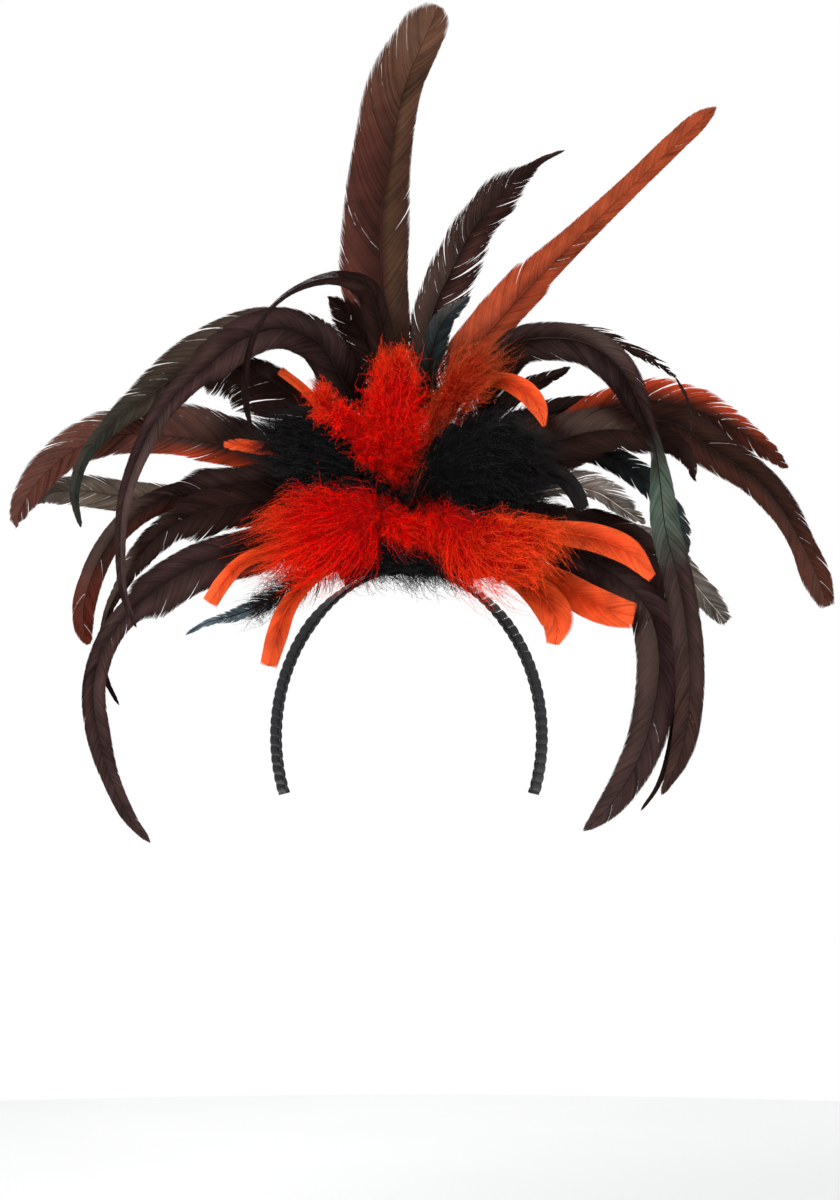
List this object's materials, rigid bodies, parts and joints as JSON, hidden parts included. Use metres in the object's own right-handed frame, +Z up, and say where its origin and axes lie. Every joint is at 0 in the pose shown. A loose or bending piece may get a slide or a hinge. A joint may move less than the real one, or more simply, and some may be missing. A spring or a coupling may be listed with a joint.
{
  "type": "burlesque headband",
  "caption": "Ribbon-wound headband with a tall fan of cock's tail feathers, trimmed flat feathers and fluffy plumes fixed to a felt backing on its crown.",
  "frame": {"origin": "middle of the band's inner crown, where it sits on the head", "axes": "+Z up from the head, +X to the right in the front view, the front faces -Y"},
  "size_m": [0.4609, 0.1276, 0.4694],
  "materials": {
    "band_ribbon": "glossy black satin ribbon, wound",
    "black_felt": "matte black felt",
    "brown_feather": "reddish-brown feather, satin",
    "dark_feather": "black-brown feather, satin",
    "plum_feather": "dark plum-brown feather, satin",
    "rust_feather": "rust-red feather, satin",
    "olive_feather": "olive-brown feather, satin",
    "green_feather": "green-black feather, glossy",
    "red_brown_feather": "dark red-brown feather, satin",
    "gray_feather": "gray-brown feather, matte",
    "black_flat": "stiff black trimmed feather",
    "orange_flat": "orange-red trimmed feather, matte",
    "red_fluff": "bright red down",
    "orange_fluff": "orange-red down",
    "black_fluff": "black down"
  },
  "bodies": {
    "root": {"headband": "band_ribbon", "felt_backing": "black_felt", "upright_brown_feather": "brown_feather", "upright_dark_feather": "dark_feather", "upright_rust_feather": "rust_feather", "green_small_feather": "green_feather", "left_thin_arch_feather": "dark_feather", "left_short_dark_feather": "dark_feather", "left_ragged_feather": "dark_feather", "left_olive_arch_feather": "olive_feather", "left_long_arch_feather": "plum_feather", "left_glint_feather": "dark_feather", "left_red_brown_feather": "red_brown_feather", "left_olive_feather": "olive_feather", "left_paddle_feather": "red_brown_feather", "left_fan_feather": "dark_feather", "left_long_drop_feather": "plum_feather", "left_small_black_feather": "green_feather", "right_arch_feather": "plum_feather", "right_thread_feather": "dark_feather", "right_red_feather": "rust_feather", "right_long_brown_feather": "red_brown_feather", "right_brown_feather": "red_brown_feather", "right_dark_top_feather": "dark_feather", "right_spike_feather": "dark_feather", "right_gray_feather": "gray_feather", "right_ragged_feather": "green_feather", "right_gray_tip_feather": "gray_feather", "right_dark_feather": "dark_feather", "right_inner_drop_feather": "plum_feather", "right_thin_drop_feather": "dark_feather", "right_black_flat": "black_flat", "orange_flat_top": "orange_flat", "orange_flat_upper_right": "orange_flat", "orange_flat_right": "orange_flat", "orange_flat_lower_right": "orange_flat", "orange_flat_left": "orange_flat", "orange_flat_lower_left": "orange_flat", "orange_flat_small_left": "orange_flat", "orange_flat_small_top": "orange_flat", "red_top_tuft": "red_fluff", "red_arm_tuft": "red_fluff", "orange_top_tuft": "orange_fluff", "black_left_tuft": "black_fluff", "black_right_tuft": "black_fluff", "red_left_tuft": "red_fluff", "red_centre_tuft": "red_fluff", "red_right_tuft": "red_fluff", "black_bottom_tuft": "black_fluff"}
  },
  "joints": []
}
